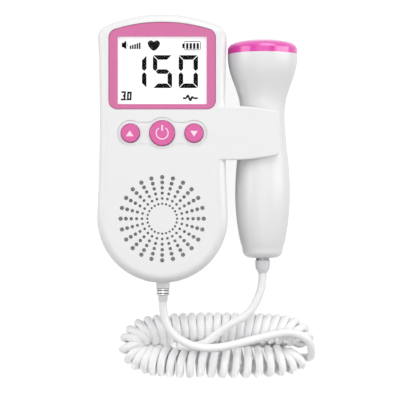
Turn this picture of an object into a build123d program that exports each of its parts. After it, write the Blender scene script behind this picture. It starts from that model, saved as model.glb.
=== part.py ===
"""Fetal doppler monitor: main unit, clip-on probe and curly cord, lying on its back.

Millimetres.  +X is to the unit's right, +Y towards its top, +Z out of its front.
The origin is the centre of the main unit's flat back, which rests on z = 0.
"""

import os
from math import asin, cos, pi, radians, sin, sqrt, tan

from build123d import *

os.makedirs("parts", exist_ok=True)

# --- Main unit housing ---------------------------------------------------------------
unit_length = 135.8          # over the arched top and the round bottom
unit_depth = 35.0            # flat back to flat front
bottom_radius = 33.0         # the round bottom
waist_half_width = 31.7      # narrowest place of the sides
waist_height = 15.0          # where that is
top_rise = 7.5               # height of the arched top above the shoulders
corner_round = 6.5           # rounding of the shoulders, seen from the front
front_round = 4.5            # rounding of the front edge
back_round = 6.0             # rounding of the back edge
wall = 2.0                   # housing wall
split_height = 17.2          # where the two shells meet
seam_depth = 0.35            # the fine groove along the seam
seam_height = 0.4
fit_gap = 0.2                # clearance round a piece that is set into another
slide_gap = 0.3              # clearance of a piece that slides

# --- Display -------------------------------------------------------------------------
bezel_width = 53.7
bezel_bottom = 19.7          # lower edge of the frame
bezel_shoulder = 58.8        # where its sides meet its arched top
bezel_rise = 4.6             # height of that arch
bezel_thickness = 1.0
bezel_sink = 0.2             # how far it lies below the front face
bezel_top_round = 4.5
bezel_bottom_round = 4.3
window_width = 44.8
window_height = 34.0
window_bottom = 22.2
display_margin = 1.3         # how far the display glass reaches under the frame
glass_thickness = 2.0
backlight_thickness = 3.0
frame_wall = 1.2

# --- Keys ----------------------------------------------------------------------------
key_row = 7.6                # height of the row of keys
key_spacing = 16.0
power_radius = 6.4
arrow_radius = 4.75
key_proud = 0.8              # how far a key stands above the front face
key_edge = 0.6
key_travel = 0.5
key_flange = 1.3             # width of the flange that keeps a key in
key_flange_thickness = 1.3
key_stem_radius = 1.8
recess_depth = 0.3           # the shallow bed of the keys
recess_hub_radius = 8.1
recess_lobe_radius = 6.6
recess_waist = 11.2          # the bed's height between hub and lobes
recess_blend = 3.5
groove_width = 0.4           # the groove along the bed's edge
groove_depth = 0.5

# --- Speaker and its grille ----------------------------------------------------------
grille_spokes = 24
grille_rings = 6
grille_inner_radius = 7.5
grille_outer_radius = 20.9
grille_inner_hole = 1.15     # hole diameters grow from ring to ring
grille_outer_hole = 2.15
speaker_drop = 0.5           # its centre lies this much below the round bottom's
speaker_radius = 25.0
speaker_flange = 2.6         # width of its flange
speaker_flange_thickness = 1.6
gasket_thickness = 0.8
screen_thickness = 0.3
basket_depth = 11.0
basket_floor_radius = 12.5
basket_wall = 0.8
cone_thickness = 0.6
dust_cap_radius = 5.5
magnet_radius = 13.5
magnet_thickness = 7.0

# --- Clip arm and cradle -------------------------------------------------------------
arm_top = 21.2               # the arm's edges where it leaves the unit
arm_bottom = -5.9
arm_tip = 59.2
arm_bend_start = 36.0        # from here its edges curve in
arm_edge_curve = 2.7         # how far each edge has curved in at the tip
arm_tip_round = 2.8
arm_droop_start = 46.5       # from here its face curves back
arm_tip_thickness = 1.9
arm_edge_round = 0.8
arm_least_drop = 0.3         # the tip's face stays at least this far behind the unit's
cradle_inset = 2.4           # the cradle is narrower than the arm
cradle_wall = 2.0
cradle_lip = 5.4             # how far the rear finger passes the probe's axis
rear_finger_thickness = 2.5

# --- Battery bay ---------------------------------------------------------------------
cell_radius = 7.25           # AA cells
cell_length = 49.2
cell_nub_radius = 2.7
cell_nub_length = 1.3
cell_gap = 1.1               # between the two cells
bay_bottom = 4.8
bay_wall = 1.4
contact_thickness = 0.5
spring_length = 4.4
spring_wire = 0.8
spring_base_radius = 3.6
spring_cone_angle = -20      # the springs narrow towards the cells
spring_turns = 4
door_margin = 2.25           # how far the door covers the ribs beside the cells
door_bottom = 3.4
door_recess = 0.2            # the door lies this far below the back face
door_rail = 1.6              # how far its rails reach under the shell
door_rail_thickness = 1.0
door_grip_grooves = 4

# --- Circuit board and screws --------------------------------------------------------
pcb_edge = 3.4               # from the board's screws to its side edge
pcb_bottom = -8.0
pcb_top = 60.0
pcb_clearance = 0.5          # between the roof of the battery bay and the board
pcb_thickness = 1.6
switch_size = 6.0
switch_body = 3.5
plunger_radius = 1.75
plunger_proud = 0.8
post_radius = 2.8
pcb_screw_radius = 1.1
pcb_screw_head = 2.1
pcb_screw_length = 7.0
case_screw_radius = 1.3
case_screw_head = 2.4
case_screw_head_height = 1.8
case_screw_length = 20.0
case_screw_sink = 3.0        # the heads lie this deep in the back
case_screw_x = 28.2          # the two upper case screws
case_screw_drop = 12.4       # how far below the top they are
case_screw_angle = 53.6      # the two lower ones flank the speaker, this far below level
case_screw_ring = 1.16       # between the speaker and their posts
pcb_screw_heights = (12.0, -4.0)
pcb_rest_height = 44.0

# --- Probe ---------------------------------------------------------------------------
head_gap = 0.2               # between the probe's head and the housing's widest place
probe_z = 18.8               # the probe's axis runs along Y at this height
probe_top = 56.6             # crown of the cap
cap_seam = 48.6              # lower edge of the cap
cap_crown_drop = 2.1         # the crown's height over the cap's shoulder
cap_round = 3.0              # rounding of the cap's shoulder
head_radius = 18.0
neck_radius = 11.7
neck_height = 9.0
belly_radius = 13.9
belly_height = -29.6
probe_bottom = -55.6
heel_radius = 6.4
heel_round = 4.0
probe_wall = 2.0
neck_flare = 0.55            # how much the neck has widened above the cradle
seat_share = 0.7             # how much of the belly's swelling the cradle has to let in
seat_gap = 0.3               # between the cradle and the widest part that it holds
mouth_step = 0.35            # the mouth's bore is this much inside the wall's own thickness
spigot_length = 3.6
crystal_radius = 10.0
crystal_thickness = 1.2
crystal_slit = 0.8
backing_thickness = 4.0
seal_wire = 1.2
probe_pcb_size = (15.0, 52.0, 1.2)
probe_pcb_middle = -12.0

# --- Cord and its ends ---------------------------------------------------------------
cord_diameter = 4.2
plug_z = 20.8                # the plug's axis, above the curly cord
collar_radius = 3.45
collar_length = 3.4
plug_ring_radius = 3.4
plug_ring_length = 3.4
ring_groove_width = 0.4      # the ring's two turned grooves
ring_groove_depth = 0.35
ring_groove_margin = 0.75    # their distance from its ends
plug_boot_length = 3.2
plug_body_length = 9.0
plug_body_radius = 2.7
plug_pin_radius = 1.75
plug_pin_length = 6.0
socket_size = (11.0, 10.6, 9.0)
jack_place = 3.8             # the earphone jack's height on the left side
jack_size = (9.0, 6.8, 5.0)
jack_nose_radius = 2.4
jack_bore = 1.8
jack_chamfer = 0.4
jack_set_back = 0.15         # how far the nose ends inside the housing's side
gland_radius = 3.45
gland_length = 1.5
probe_boot_radius = 3.85
probe_boot_length = 6.2
coil_diameter = 15.0         # outer diameter of the curly cord
coil_loop_length = 103.0     # the loop that the curly cord lies in, over all
coil_loop_width = 34.7
coil_middle = (27.8, -102.15)
coil_start_angle = 2.0       # the loop is open between these two angles
coil_end_angle = 24.0

# --- Places worked out from the sizes above -------------------------------------------
probe_x = bottom_radius + head_gap + head_radius
unit_top = unit_length / 2
shoulder_height = unit_top - top_rise
round_centre = bottom_radius - unit_length / 2
speaker_height = round_centre - speaker_drop
side_radius = (
    (waist_height - round_centre) ** 2 / (bottom_radius - waist_half_width) - bottom_radius - waist_half_width
) / 2                        # the long hollow curve of each side, tangent to the round bottom
side_centre = waist_half_width + side_radius
side_share = bottom_radius / (bottom_radius + side_radius)
shoulder = side_centre - sqrt(side_radius**2 - (shoulder_height - waist_height) ** 2)
arch_radius = (shoulder**2 + top_rise**2) / (2 * top_rise)
arch_centre = unit_top - arch_radius
front_inner = unit_depth - wall
bezel_floor = unit_depth - bezel_sink - bezel_thickness
glass_top = bezel_floor - 0.1
glass_bottom = glass_top - glass_thickness
seat_radius = neck_radius + max(neck_flare, seat_share * (belly_radius - neck_radius)) + seat_gap
mouth_bore = head_radius - 0.1 - probe_wall - mouth_step + 0.1
grip_top = probe_z + seat_radius
grip_bottom = probe_z - seat_radius
gasket_bottom = front_inner - gasket_thickness
speaker_flange_bottom = gasket_bottom - speaker_flange_thickness
basket_bottom = speaker_flange_bottom - basket_depth
cell_pitch = 2 * cell_radius + cell_gap
cell_rib = cell_pitch / 2 + cell_radius + slide_gap
door_half_width = cell_rib + door_margin
cell_bottom = wall + slide_gap + door_rail_thickness + slide_gap
cell_axis = cell_bottom + 0.1 + cell_radius
bay_roof = cell_axis + cell_radius + slide_gap
pcb_height = bay_roof + bay_wall + pcb_clearance
pcb_front = pcb_height + pcb_thickness
bay_half_width = door_half_width + door_rail + slide_gap
bay_length = cell_length + cell_nub_length + spring_length + 2 * contact_thickness + 0.4
spring_end = bay_bottom + contact_thickness + spring_length
pcb_screw_x = bay_half_width + bay_wall + post_radius - 0.1
pcb_half_width = pcb_screw_x + pcb_edge
coil_bend = (coil_loop_width - coil_diameter) / 2
coil_half_run = (coil_loop_length - coil_diameter) / 2 - coil_bend

reach = 3 * unit_length       # a block that is larger than the whole
level_plane = Plane.XY.offset  # a plane at a given height
probe_plane = Plane(origin=(probe_x, 0, probe_z), x_dir=(1, 0, 0), z_dir=(0, 0, 1))


# --- Outline and solid forms of the housing --------------------------------------------
def housing_outline(inset):
    """The housing's outline seen from the front, or one that lies the inset inside it."""
    foot = (side_share * side_centre, round_centre + side_share * (waist_height - round_centre))
    inward = inset / bottom_radius
    foot = (foot[0] * (1 - inward), foot[1] + (round_centre - foot[1]) * inward)
    waist = (waist_half_width - inset, waist_height)
    # where the side's arc meets the arch
    side = side_radius + inset
    arch = arch_radius - inset
    span = sqrt(side_centre**2 + (waist_height - arch_centre) ** 2)
    along = (span**2 + arch**2 - side**2) / (2 * span)
    across = sqrt(arch**2 - along**2)
    unit_x = side_centre / span
    unit_y = (waist_height - arch_centre) / span
    corner = (along * unit_x - across * unit_y, arch_centre + along * unit_y + across * unit_x)
    with BuildSketch() as outline:
        with BuildLine():
            ThreePointArc((-foot[0], foot[1]), (0, inset - unit_top), foot)
            ThreePointArc(foot, waist, corner)
            ThreePointArc(corner, (0, unit_top - inset), (-corner[0], corner[1]))
            ThreePointArc((-corner[0], corner[1]), (-waist[0], waist[1]), (-foot[0], foot[1]))
        make_face()
        fillet(outline.vertices().group_by(Axis.Y)[-1], corner_round - inset)
    return outline


unit_outline = housing_outline(0)
with BuildPart() as unit_form:
    with BuildSketch():
        add(unit_outline.sketch)
    extrude(amount=unit_depth)
    fillet(unit_form.faces().sort_by(Axis.Z)[-1].edges(), front_round)
    fillet(unit_form.faces().sort_by(Axis.Z)[0].edges(), back_round)

with BuildPart() as unit_core:
    with BuildSketch(level_plane(wall)):
        add(housing_outline(wall).sketch)
    extrude(amount=unit_depth - 2 * wall)
    fillet(unit_core.faces().sort_by(Axis.Z)[-1].edges(), front_round - wall)
    fillet(unit_core.faces().sort_by(Axis.Z)[0].edges(), back_round - wall)

# The arm: flush with the front face, with edges that curve in and a face that curves back.
arm_root = waist_half_width - front_round - 1
arm_face_drop = max(arm_least_drop, unit_depth - grip_top - arm_tip_thickness)
arm_tip_wall = unit_depth - arm_face_drop - grip_top
with BuildPart() as clip_arm:
    with BuildSketch(Plane.XZ.offset(-arm_top)):
        with BuildLine():
            Line((arm_root, grip_top), (arm_root, unit_depth))
            Line((arm_root, unit_depth), (arm_droop_start, unit_depth))
            TangentArc((arm_droop_start, unit_depth), (arm_tip, unit_depth - arm_face_drop), tangent=(1, 0))
            Line((arm_tip, unit_depth - arm_face_drop), (arm_tip, grip_top))
            Line((arm_tip, grip_top), (arm_root, grip_top))
        make_face()
    extrude(amount=arm_top - arm_bottom)
    with BuildSketch() as arm_plan:
        with BuildLine():
            Line((arm_root, arm_bottom), (arm_root, arm_top))
            Line((arm_root, arm_top), (arm_bend_start, arm_top))
            TangentArc((arm_bend_start, arm_top), (arm_tip, arm_top - arm_edge_curve), tangent=(1, 0))
            Line((arm_tip, arm_top - arm_edge_curve), (arm_tip, arm_bottom + arm_edge_curve))
            TangentArc(
                (arm_bend_start, arm_bottom), (arm_tip, arm_bottom + arm_edge_curve), tangent=(1, 0)
            )
            Line((arm_bend_start, arm_bottom), (arm_root, arm_bottom))
        make_face()
        fillet(arm_plan.vertices().group_by(Axis.X)[-1], arm_tip_round)
    extrude(amount=unit_depth, mode=Mode.INTERSECT)
    arm_front = clip_arm.edges().filter_by(lambda e: e.center().Z > unit_depth - arm_face_drop - 0.2)
    arm_front = arm_front.filter_by(lambda e: e.center().X > arm_root + 0.5)
    fillet(arm_front, min(arm_edge_round, 0.45 * arm_tip_wall))

# The cradle: a hollow C that opens to the right, with a rear finger behind the probe.
cradle_top = arm_top - cradle_inset
cradle_height = arm_top - arm_bottom - 2 * cradle_inset
cradle_back = grip_bottom - rear_finger_thickness
with BuildPart() as cradle:
    with BuildSketch(Plane.XZ.offset(-cradle_top)) as cradle_profile:
        with BuildLine():
            Polyline(
                (probe_x, grip_top),
                (arm_root, grip_top),
                (arm_root, cradle_back),
                (probe_x + cradle_lip, cradle_back),
                (probe_x + cradle_lip, grip_bottom),
                (probe_x, grip_bottom),
            )
            ThreePointArc((probe_x, grip_bottom), (probe_x - seat_radius, probe_z), (probe_x, grip_top))
        make_face()
    extrude(amount=cradle_height)
    finger_end = cradle.faces().sort_by(Axis.X)[-1].edges()
    fillet(finger_end, rear_finger_thickness * 0.4)

core_start = waist_half_width + 0.8
with BuildPart() as cradle_core:
    with BuildSketch(Plane.XZ.offset(cradle_wall - cradle_top)):
        with Locations(((core_start + probe_x) / 2, probe_z)):
            Rectangle(probe_x - core_start, 2 * seat_radius - 0.2)
        with Locations((probe_x, probe_z)):
            Circle(seat_radius + cradle_wall, mode=Mode.SUBTRACT)
    extrude(amount=cradle_height - 2 * cradle_wall)

# --- Sketches that more than one piece uses ---------------------------------------------
with BuildSketch() as bezel_outline:
    with BuildLine():
        Polyline(
            (-bezel_width / 2, bezel_shoulder),
            (-bezel_width / 2, bezel_bottom),
            (bezel_width / 2, bezel_bottom),
            (bezel_width / 2, bezel_shoulder),
        )
        ThreePointArc(
            (bezel_width / 2, bezel_shoulder),
            (0, bezel_shoulder + bezel_rise),
            (-bezel_width / 2, bezel_shoulder),
        )
    make_face()
    fillet(bezel_outline.vertices().group_by(Axis.Y)[-1], bezel_top_round)
    fillet(bezel_outline.vertices().group_by(Axis.Y)[0], bezel_bottom_round)

def key_bed(inset):
    """The outline of the keys' bed, or one that lies the inset inside it."""
    with BuildSketch() as bed:
        with Locations((0, key_row)):
            Circle(recess_hub_radius - inset)
            Rectangle(2 * key_spacing, recess_waist - 2 * inset)
        with Locations((-key_spacing, key_row), (key_spacing, key_row)):
            Circle(recess_lobe_radius - inset)
        fillet(bed.vertices().filter_by(lambda v: abs(v.X) < key_spacing - 1), recess_blend + inset)
    return bed


window_middle = (0, window_bottom + window_height / 2)
glass_width = window_width + 2 * display_margin
glass_height = window_height + 2 * display_margin - 1.0
key_places = {
    "power": (0, power_radius),
    "up": (-key_spacing, arrow_radius),
    "down": (key_spacing, arrow_radius),
}


def grille_holes():
    """Holes of the speaker grille, on spokes, each ring's a little larger than the last."""
    for ring in range(grille_rings):
        share = ring / (grille_rings - 1)
        radius = grille_inner_radius + share * (grille_outer_radius - grille_inner_radius)
        hole = grille_inner_hole + share * (grille_outer_hole - grille_inner_hole)
        with PolarLocations(radius, grille_spokes):
            Circle(hole / 2)


def dome_arc(radius, top, drop):
    """The half profile of a dome, an arc centred on its axis."""
    sphere = (radius**2 + drop**2) / (2 * drop)
    half_turn = asin(radius / sphere) / 2
    middle = (sphere * sin(half_turn), top - sphere * (1 - cos(half_turn)))
    return ThreePointArc((0, top), middle, (radius, top - drop))


def mirrored(place):
    """A place on the right and its mirror image on the left."""
    return (place, (-place[0], place[1]))


screw_ring = speaker_radius + post_radius + case_screw_ring
screw_turn = radians(case_screw_angle)
case_screw_top = (case_screw_x, unit_top - case_screw_drop)
case_screw_bottom = (screw_ring * cos(screw_turn), speaker_height - screw_ring * sin(screw_turn))
case_places = mirrored(case_screw_top) + mirrored(case_screw_bottom)
# The jack lies on the board and its nose reaches through the left wall.
jack_drop = abs(waist_height - jack_place)
jack_wall = side_centre - sqrt(side_radius**2 - jack_drop**2)
jack_root = jack_size[0] + wall + fit_gap - jack_wall
jack_nose_length = wall + fit_gap - jack_set_back
jack_plane = Plane(
    origin=(jack_root, jack_place, pcb_front + jack_size[2] / 2), x_dir=(0, -1, 0), z_dir=(-1, 0, 0)
)
pcb_places = [place for height in pcb_screw_heights for place in mirrored((pcb_screw_x, height))]
pcb_rest_places = mirrored((pcb_screw_x, pcb_rest_height))
case_screw_seat = case_screw_sink + case_screw_head_height
case_post_end = case_screw_seat + 3.5

# The groove of the seam runs round the unit but stops at the cradle.
with BuildSketch() as seam_ring:
    add(housing_outline(-seam_depth).sketch)
    add(housing_outline(seam_depth).sketch, mode=Mode.SUBTRACT)
    with Locations((waist_half_width + bottom_radius / 2, (arm_top + arm_bottom) / 2)):
        Rectangle(bottom_radius + 2, cradle_height, mode=Mode.SUBTRACT)

# The front shell's posts for the case screws stand inside the rear shell's wall.
with BuildSketch() as case_posts:
    with Locations(*case_places):
        Circle(post_radius)
    add(housing_outline(wall + fit_gap).sketch, mode=Mode.INTERSECT)

# --- Front shell -----------------------------------------------------------------------
with BuildPart() as front_shell:
    add(unit_form.part)
    add(cradle.part)
    with BuildSketch(level_plane(split_height)):
        Rectangle(reach, reach)
    extrude(amount=reach, mode=Mode.INTERSECT)
    with BuildSketch(level_plane(split_height)):
        add(seam_ring.sketch)
    extrude(amount=seam_height, mode=Mode.SUBTRACT)
    add(clip_arm.part)
    add(unit_core.part, mode=Mode.SUBTRACT)
    add(cradle_core.part, mode=Mode.SUBTRACT)
    # display recess and its opening
    with BuildSketch(level_plane(bezel_floor)):
        add(bezel_outline.sketch)
        offset(amount=fit_gap)
    extrude(amount=unit_depth - bezel_floor, mode=Mode.SUBTRACT)
    with BuildSketch(level_plane(front_inner)):
        with Locations(window_middle):
            Rectangle(glass_width + 2 * fit_gap, glass_height + 2 * fit_gap)
    extrude(amount=wall, mode=Mode.SUBTRACT)
    # bed and holes of the keys
    with BuildSketch(level_plane(unit_depth - recess_depth)):
        add(key_bed(0).sketch)
    extrude(amount=recess_depth, mode=Mode.SUBTRACT)
    with BuildSketch(level_plane(unit_depth - recess_depth - groove_depth)):
        add(key_bed(0).sketch)
        add(key_bed(groove_width).sketch, mode=Mode.SUBTRACT)
    extrude(amount=groove_depth, mode=Mode.SUBTRACT)
    with BuildSketch(level_plane(front_inner)):
        for key_x, key_radius in key_places.values():
            with Locations((key_x, key_row)):
                Circle(key_radius + fit_gap)
    extrude(amount=wall, mode=Mode.SUBTRACT)
    # grille
    with BuildSketch(Plane(origin=(0, speaker_height, front_inner))):
        grille_holes()
    extrude(amount=wall, mode=Mode.SUBTRACT)
    # posts for the case screws
    with BuildSketch(level_plane(case_post_end + fit_gap)):
        add(case_posts.sketch)
    extrude(amount=front_inner + 0.5 - case_post_end - fit_gap)
    with BuildSketch(level_plane(case_post_end + fit_gap)):
        with Locations(*case_places):
            Circle(case_screw_radius)
    extrude(amount=case_screw_length - 3.0, mode=Mode.SUBTRACT)
    # hole for the nose of the earphone jack
    with BuildSketch(jack_plane.offset(jack_size[0])):
        Circle(jack_nose_radius + fit_gap)
    extrude(amount=2 * wall, mode=Mode.SUBTRACT)
    # half of the hole for the cord's collar
    with BuildSketch(Plane.XZ.offset(unit_top - 2 * wall)):
        with Locations((0, plug_z)):
            Circle(collar_radius + 0.02)
    extrude(amount=3 * wall, mode=Mode.SUBTRACT)

# --- Rear shell --------------------------------------------------------------------------
bay_middle = bay_bottom + bay_length / 2
with BuildPart() as rear_shell:
    add(unit_form.part)
    add(cradle.part)
    with BuildSketch(level_plane(split_height)):
        Rectangle(reach, reach)
    extrude(amount=-reach, mode=Mode.INTERSECT)
    add(unit_core.part, mode=Mode.SUBTRACT)
    add(cradle_core.part, mode=Mode.SUBTRACT)
    # battery bay, open to the back
    with BuildSketch(level_plane(wall / 2)):
        with Locations((0, bay_middle)):
            Rectangle(2 * (bay_half_width + bay_wall), bay_length + 2 * bay_wall)
    extrude(amount=bay_roof + bay_wall - wall / 2)
    with BuildSketch(level_plane(wall)):
        with Locations((0, bay_middle)):
            Rectangle(2 * bay_half_width, bay_length)
    extrude(amount=bay_roof - wall, mode=Mode.SUBTRACT)
    # ribs that hold the cells sideways, clear of the door's rails
    with BuildSketch(level_plane(cell_bottom)):
        with Locations((-cell_rib - bay_wall / 2, bay_middle), (cell_rib + bay_wall / 2, bay_middle)):
            Rectangle(bay_wall, bay_length)
    extrude(amount=bay_roof - cell_bottom)
    # opening and rail slots of the door, open at the top end
    door_cut_middle = (door_bottom - slide_gap + unit_top + 2) / 2
    door_cut_length = unit_top + 2 - door_bottom + slide_gap
    with BuildSketch():
        with Locations((0, door_cut_middle)):
            Rectangle(2 * (door_half_width + slide_gap), door_cut_length)
    extrude(amount=wall + slide_gap, mode=Mode.SUBTRACT)
    with BuildSketch(level_plane(wall)):
        with Locations((0, door_cut_middle)):
            Rectangle(2 * (door_half_width + door_rail + slide_gap), door_cut_length)
    extrude(amount=door_rail_thickness + 2 * slide_gap, mode=Mode.SUBTRACT)
    # posts for the board
    with BuildSketch(level_plane(wall / 2)):
        with Locations(*pcb_places, *pcb_rest_places):
            Circle(post_radius)
    extrude(amount=pcb_height - wall / 2)
    with BuildSketch(level_plane(pcb_height - pcb_screw_length)):
        with Locations(*pcb_places):
            Circle(pcb_screw_radius)
    extrude(amount=pcb_screw_length, mode=Mode.SUBTRACT)
    # pedestal of the cord's socket
    socket_middle = -unit_top + wall + socket_size[1] / 2 + 0.6
    with BuildSketch(level_plane(wall / 2)):
        with Locations((0, socket_middle)):
            Rectangle(socket_size[0], socket_size[1] - 4)
    extrude(amount=plug_z - socket_size[2] / 2 - wall / 2)
    # posts and counterbores of the case screws
    with BuildSketch(level_plane(wall / 2)):
        with Locations(*case_places):
            Circle(case_screw_head + 1.6)
    extrude(amount=case_post_end - wall / 2)
    with BuildSketch():
        with Locations(*case_places):
            Circle(case_screw_head + fit_gap)
    extrude(amount=case_screw_seat, mode=Mode.SUBTRACT)
    with BuildSketch():
        with Locations(*case_places):
            Circle(case_screw_radius + fit_gap)
    extrude(amount=max(case_post_end, split_height), mode=Mode.SUBTRACT)
    # what stands above the split keeps clear of the front shell's wall
    with BuildSketch(level_plane(split_height)):
        Rectangle(reach, reach)
        add(housing_outline(wall + fit_gap).sketch, mode=Mode.SUBTRACT)
    extrude(amount=reach, mode=Mode.SUBTRACT)
    # the housing's own outer form trims what reaches past it
    add(unit_form.part + cradle.part, mode=Mode.INTERSECT)

# --- Display ----------------------------------------------------------------------------
with BuildPart() as bezel:
    with BuildSketch(level_plane(bezel_floor)):
        add(bezel_outline.sketch)
        with Locations(window_middle):
            Rectangle(window_width, window_height, mode=Mode.SUBTRACT)
    extrude(amount=bezel_thickness)
    chamfer(bezel.faces().sort_by(Axis.Z)[-1].outer_wire().edges(), 0.25)

with BuildPart() as lcd_window:
    with BuildSketch(level_plane(bezel_floor)):
        with Locations(window_middle):
            Rectangle(window_width - 0.1, window_height - 0.1)
    extrude(amount=bezel_thickness - 0.15)

with BuildPart() as lcd_panel:
    with BuildSketch(level_plane(glass_bottom)):
        with Locations(window_middle):
            Rectangle(glass_width, glass_height)
    extrude(amount=glass_thickness)

backlight_bottom = glass_bottom - backlight_thickness
with BuildPart() as lcd_backlight:
    with BuildSketch(level_plane(backlight_bottom)):
        with Locations(window_middle):
            Rectangle(window_width, window_height - 4)
    extrude(amount=backlight_thickness)

# A tray round the glass that stands on the board and leaves a slit for the connectors.
connector_width = 1.6
tray_front = front_inner - 0.2
with BuildPart() as lcd_frame:
    with BuildSketch(level_plane(pcb_front)):
        with Locations(window_middle):
            Rectangle(glass_width + 2 * frame_wall, glass_height + 2 * frame_wall)
    extrude(amount=tray_front - pcb_front)
    with BuildSketch(level_plane(glass_bottom)):
        with Locations(window_middle):
            Rectangle(glass_width + 0.1, glass_height + 0.1)
    extrude(amount=tray_front - glass_bottom, mode=Mode.SUBTRACT)
    with BuildSketch(level_plane(backlight_bottom)):
        with Locations(window_middle):
            Rectangle(window_width + 0.1, window_height - 3.9)
    extrude(amount=backlight_thickness, mode=Mode.SUBTRACT)
    with BuildSketch(level_plane(pcb_front)):
        with Locations(window_middle):
            Rectangle(window_width - 4, window_height - 8)
    extrude(amount=backlight_bottom - pcb_front - 1.0, mode=Mode.SUBTRACT)
    with BuildSketch(level_plane(pcb_front)):
        for side in (-1, 1):
            with Locations((0, window_middle[1] + side * (glass_height / 2 - connector_width / 2))):
                Rectangle(window_width - 4, connector_width)
    extrude(amount=glass_bottom - pcb_front, mode=Mode.SUBTRACT)

with BuildPart() as lcd_connectors:
    with BuildSketch(level_plane(pcb_front)):
        for side in (-1, 1):
            with Locations((0, window_middle[1] + side * (glass_height / 2 - connector_width / 2))):
                Rectangle(window_width - 4.2, connector_width - 0.1)
    extrude(amount=glass_bottom - pcb_front)

# --- Circuit board -----------------------------------------------------------------------
with BuildPart() as main_pcb:
    with BuildSketch(level_plane(pcb_height)):
        with Locations((0, (pcb_top + pcb_bottom) / 2)):
            RectangleRounded(2 * pcb_half_width, pcb_top - pcb_bottom, 2.0)
        add(housing_outline(wall + fit_gap).sketch, mode=Mode.INTERSECT)
        with Locations(*mirrored(case_screw_top)):
            Circle(post_radius + 0.8, mode=Mode.SUBTRACT)
        with Locations(*pcb_places):
            Circle(pcb_screw_radius + fit_gap, mode=Mode.SUBTRACT)
    extrude(amount=pcb_thickness)

with BuildPart() as pcb_screws:
    with BuildSketch(level_plane(pcb_front)):
        with Locations(*pcb_places):
            Circle(pcb_screw_head)
    extrude(amount=1.4)
    fillet(pcb_screws.faces().filter_by(Axis.Z).group_by(Axis.Z)[-1].edges(), 0.5)
    with BuildSketch(level_plane(pcb_front)):
        with Locations(*pcb_places):
            Circle(pcb_screw_radius)
    extrude(amount=-(pcb_screw_length + pcb_thickness - 1.0))

with BuildPart() as case_screws:
    with BuildSketch(level_plane(case_screw_sink)):
        with Locations(*case_places):
            Circle(case_screw_head)
    extrude(amount=case_screw_head_height)
    with BuildSketch(level_plane(case_screw_seat)):
        with Locations(*case_places):
            Circle(case_screw_radius)
    extrude(amount=case_screw_length - 0.5)
    with BuildSketch(level_plane(case_screw_sink)):
        with Locations(*case_places):
            Rectangle(3.0, 0.7)
            Rectangle(0.7, 3.0)
    extrude(amount=1.0, mode=Mode.SUBTRACT)

with BuildPart() as controller_chip:
    with BuildSketch(level_plane(pcb_front)):
        with Locations((-12.0, -1.5)):
            Rectangle(9.0, 9.0)
    extrude(amount=1.2)
    chamfer(controller_chip.faces().sort_by(Axis.Z)[-1].edges(), 0.2)

with BuildPart() as amplifier_chips:
    with BuildSketch(level_plane(pcb_front)):
        with Locations((1.0, -3.0), (9.0, -3.0)):
            Rectangle(5.0, 4.0)
    extrude(amount=1.4)

with BuildPart() as capacitors:
    with BuildSketch(level_plane(pcb_front)):
        with Locations((16.0, -3.5), (16.0, 17.2), (-16.0, 17.2)):
            Circle(2.0)
    extrude(amount=4.5)
    fillet(capacitors.faces().filter_by(Axis.Z).group_by(Axis.Z)[-1].edges(), 0.3)

# --- Keys, each over the plunger of its switch ----------------------------------------------
switch_top = pcb_front + switch_body
plunger_top = switch_top + plunger_proud
plunger_foot = switch_top - 1.2
key_top = unit_depth + key_proud
flange_top = front_inner - slide_gap

with BuildPart() as tact_switches:
    with BuildSketch(level_plane(pcb_front)):
        for key_x, _ in key_places.values():
            with Locations((key_x, key_row)):
                Rectangle(switch_size, switch_size)
    extrude(amount=switch_body)
    with BuildSketch(level_plane(plunger_foot - key_travel - 0.1)):
        for key_x, _ in key_places.values():
            with Locations((key_x, key_row)):
                Circle(plunger_radius + 0.15)
    extrude(amount=switch_top, mode=Mode.SUBTRACT)


def build_plunger(key_x):
    """The plunger of a tactile switch."""
    with BuildPart() as plunger:
        with BuildSketch(Plane.XY.move(Location((key_x, key_row, plunger_foot)))):
            Circle(plunger_radius)
        extrude(amount=plunger_top - plunger_foot)
    return plunger


def build_key(key_x, key_radius):
    """A round key: a bevelled cap, a flange behind the housing wall and a stem to the switch."""
    with BuildPart() as key:
        with BuildSketch(Plane.XY.move(Location((key_x, key_row, plunger_top)))):
            Circle(key_stem_radius)
        extrude(amount=flange_top - plunger_top)
        with BuildSketch(Plane.XY.move(Location((key_x, key_row, flange_top - key_flange_thickness)))):
            Circle(key_radius + key_flange)
        extrude(amount=key_flange_thickness)
        with BuildSketch(Plane.XY.move(Location((key_x, key_row, flange_top)))):
            Circle(key_radius)
        extrude(amount=key_top - flange_top)
        fillet(key.faces().sort_by(Axis.Z)[-1].edges(), key_edge)
    return key


keys = {name: build_key(*place) for name, place in key_places.items()}
plungers = {name: build_plunger(place[0]) for name, place in key_places.items()}

# --- Speaker --------------------------------------------------------------------------------
speaker_bore = speaker_radius - speaker_flange
speaker_plane = Plane(origin=(0, speaker_height, 0))
speaker_section = Plane(origin=(0, speaker_height, 0), x_dir=(1, 0, 0), z_dir=(0, -1, 0))
speaker_axis = Axis((0, speaker_height, 0), (0, 0, 1))

with BuildPart() as speaker_gasket:
    with BuildSketch(speaker_plane.offset(gasket_bottom)):
        Circle(speaker_radius)
        Circle(speaker_bore, mode=Mode.SUBTRACT)
    extrude(amount=gasket_thickness)

with BuildPart() as grille_screen:
    with BuildSketch(speaker_plane.offset(front_inner - screen_thickness - 0.05)):
        Circle(speaker_bore - 0.1)
    extrude(amount=screen_thickness)

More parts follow.
